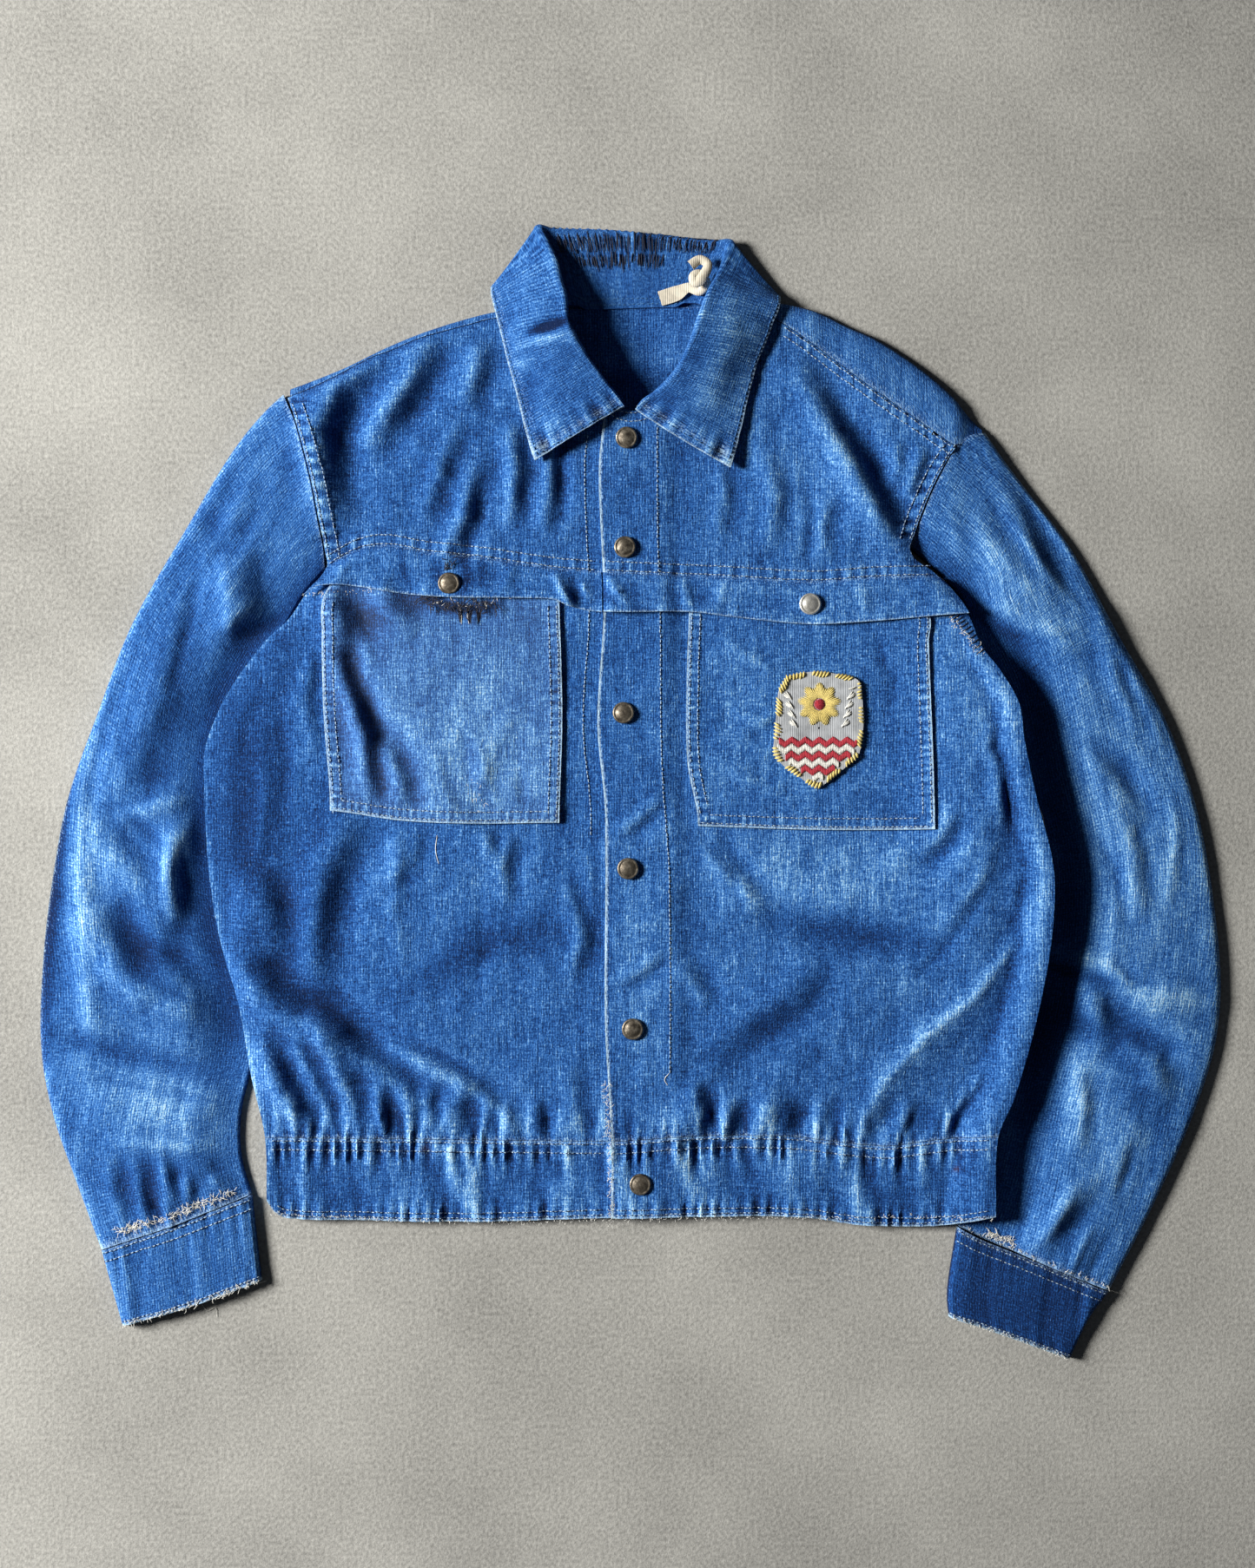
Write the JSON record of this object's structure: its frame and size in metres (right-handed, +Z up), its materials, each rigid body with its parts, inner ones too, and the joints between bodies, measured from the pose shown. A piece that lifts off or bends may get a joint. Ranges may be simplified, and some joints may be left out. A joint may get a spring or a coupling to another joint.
{
  "type": "mended denim work jacket",
  "caption": "Faded blue denim work jacket laid flat on its back with its snaps closed, with chest pockets, gathered waistband, open neck, darned edges and a sewn badge.",
  "frame": {"origin": "centre of the jacket's plan box, on the surface that it rests on", "axes": "+X towards the wearer's left sleeve, +Y towards the collar, +Z up out of the surface"},
  "size_m": [0.7774, 0.7455, 0.0297],
  "materials": {
    "denim": "faded blue twill, worn pale along seams and folds",
    "denim_sleeve": "faded blue twill, paler on the folds at the elbows",
    "denim_band": "faded blue twill, puckered and pale along its stitching",
    "snap_metal": "aged and dulled, with a rubbed rim",
    "tape": "natural cotton twill tape",
    "badge_twill": "sewn twill with a yellow whipped edge"
  },
  "bodies": {
    "root": {"back": "denim", "front_right_upper": "denim", "front_left_upper": "denim", "front_right_lower": "denim", "front_left_lower": "denim", "flap_right": "denim", "flap_left": "denim", "pocket_right": "denim", "pocket_left": "denim", "collar": "denim", "sleeve_right": "denim_sleeve", "sleeve_left": "denim_sleeve", "cuff_right": "denim_band", "cuff_left": "denim_band", "band_back": "denim_band", "band_front_right": "denim_band", "band_front_left": "denim_band", "snap_1": "snap_metal", "snap_2": "snap_metal", "snap_3": "snap_metal", "snap_4": "snap_metal", "snap_5": "snap_metal", "snap_6": "snap_metal", "snap_flap_right": "snap_metal", "snap_flap_left": "snap_metal", "hang_loop": "tape", "badge": "badge_twill"}
  },
  "joints": []
}
